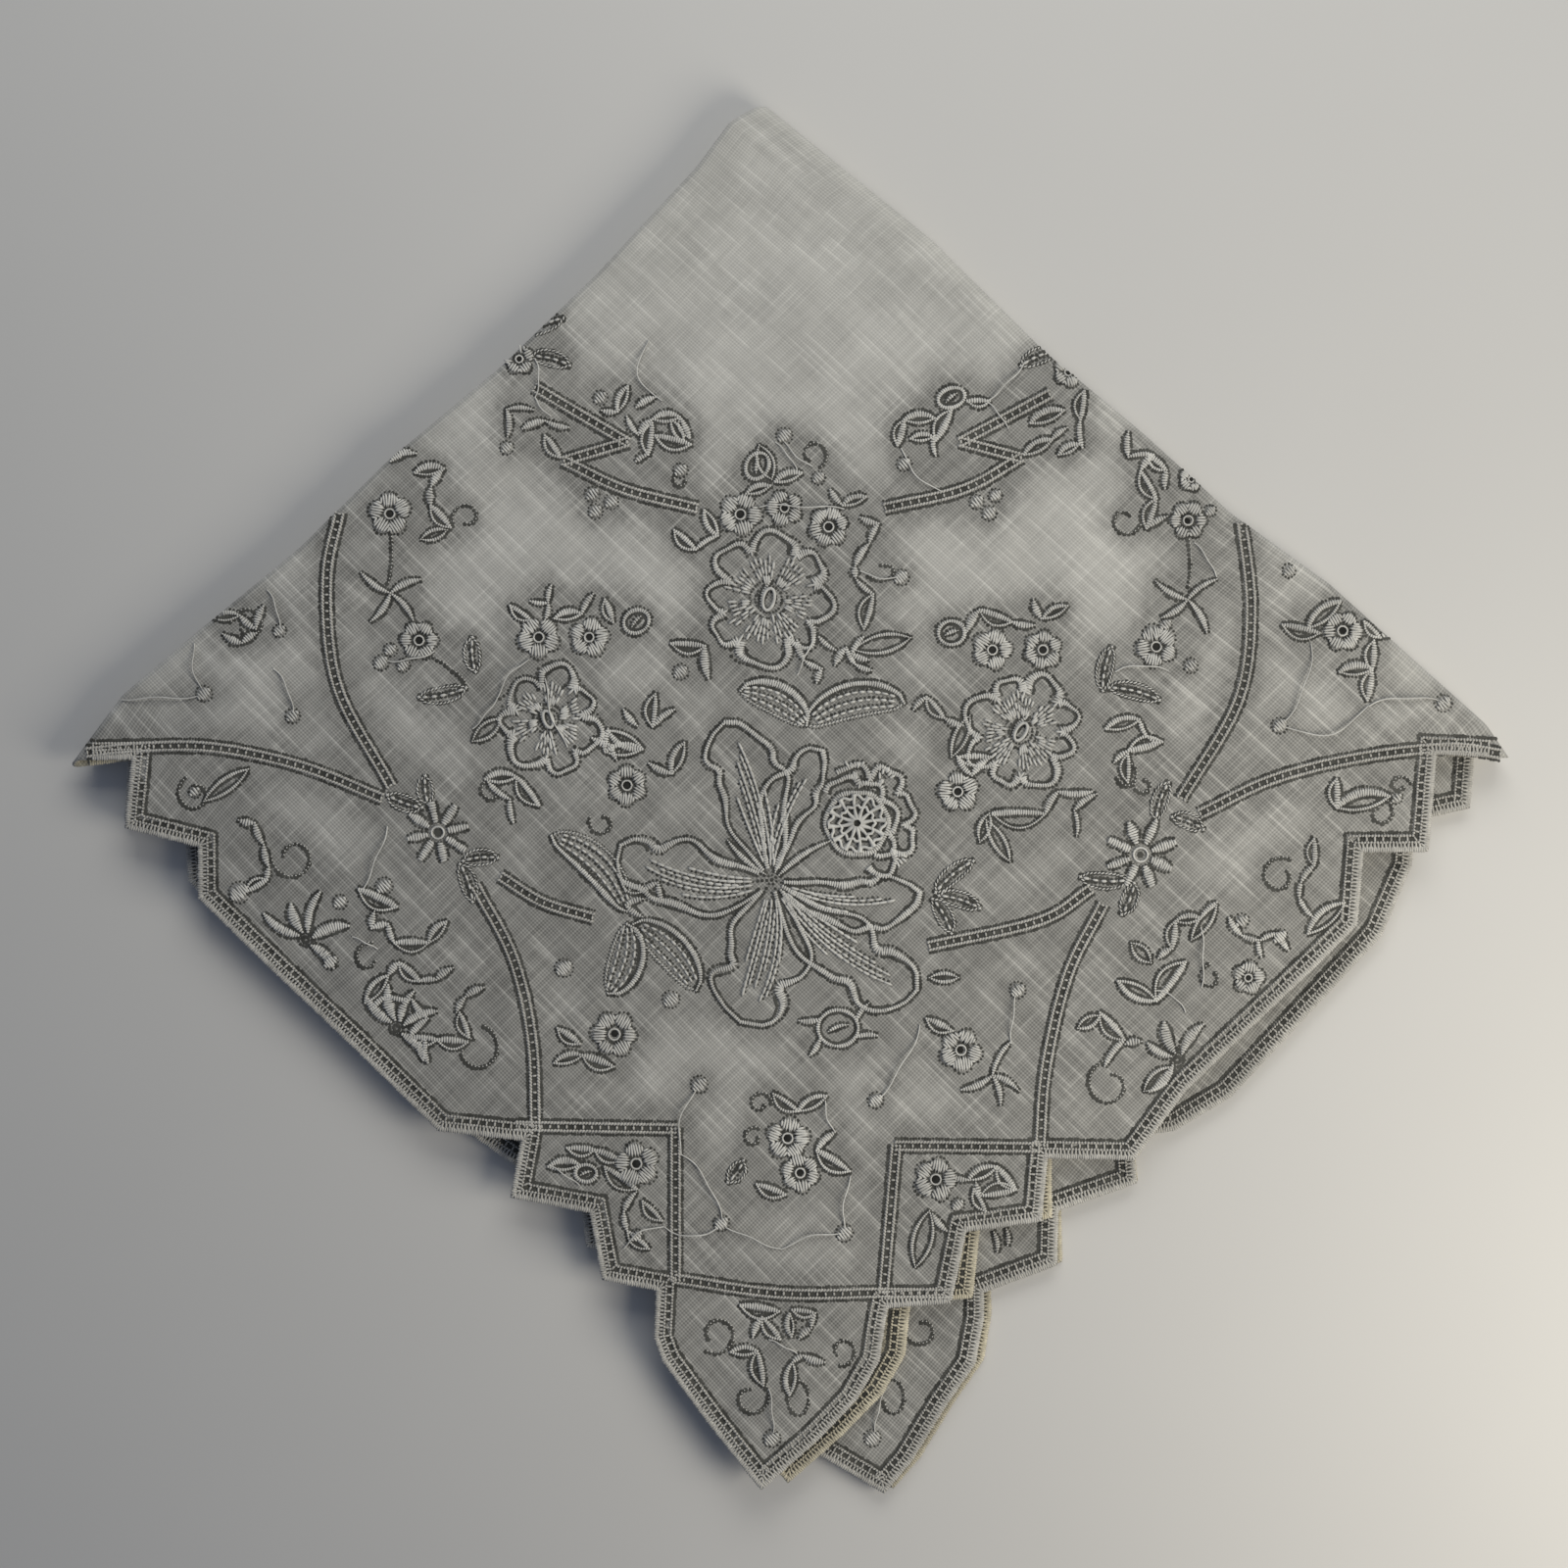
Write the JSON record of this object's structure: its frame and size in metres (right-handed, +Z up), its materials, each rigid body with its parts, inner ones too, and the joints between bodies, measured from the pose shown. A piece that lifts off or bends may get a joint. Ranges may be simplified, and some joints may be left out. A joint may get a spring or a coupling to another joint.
{
  "type": "folded linen handkerchief",
  "caption": "Square linen handkerchief with stepped, scalloped hems and whitework flowers, folded in quarters and lying flat.",
  "frame": {"origin": "middle of the box's base, on the surface that the folded cloth lies on", "axes": "+Z up through the layers, +X from the left tip to the right tip, +Y from the hems' tab to the cloth's middle"},
  "size_m": [0.2292, 0.222, 0.0058],
  "materials": {
    "linen": "matt plain weave"
  },
  "bodies": {
    "root": {"linen_cloth": "linen"}
  },
  "joints": []
}
